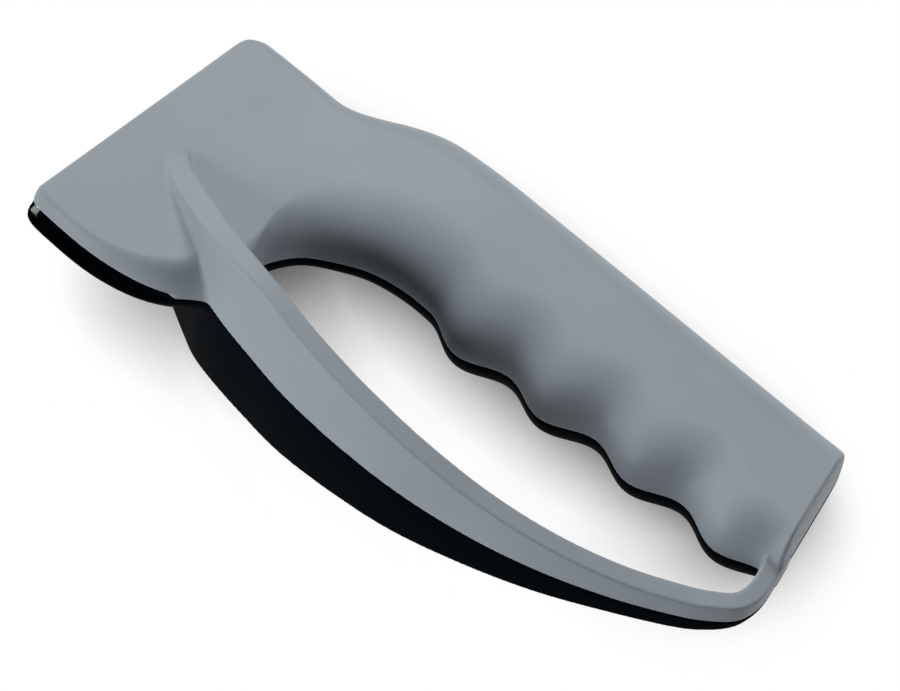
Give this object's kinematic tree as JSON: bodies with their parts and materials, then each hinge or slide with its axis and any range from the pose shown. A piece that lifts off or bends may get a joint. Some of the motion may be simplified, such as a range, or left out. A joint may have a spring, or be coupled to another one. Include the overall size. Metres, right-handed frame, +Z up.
{
  "type": "knife sharpener",
  "caption": "Hand-held pull-through knife sharpener: D-shaped handle with finger grooves and a full guard, moulded in two half shells that hold crossed carbide cutters in a slot.",
  "frame": {"origin": "centre of the bounding box in plan, on the table that the tool lies on", "axes": "+X from the head to the butt of the handle, +Y from the guard to the back of the handle, +Z up from the table"},
  "size_m": [0.1363, 0.0638, 0.0385],
  "materials": {
    "grey_shell": "fine matte moulding",
    "black_shell": "satin moulding",
    "black_holder": "matte",
    "carbide": "ground",
    "steel_pin": "satin",
    "steel_screw": "satin"
  },
  "bodies": {
    "root": {"upper_shell": "grey_shell", "lower_shell": "black_shell", "cutter_holder": "black_holder", "upper_cutter": "carbide", "lower_cutter": "carbide", "holder_dowels": "steel_pin", "grip_dowels": "steel_pin", "guard_dowels": "steel_pin", "head_screw": "steel_screw", "front_grip_screw": "steel_screw", "rear_grip_screw": "steel_screw"}
  },
  "joints": []
}
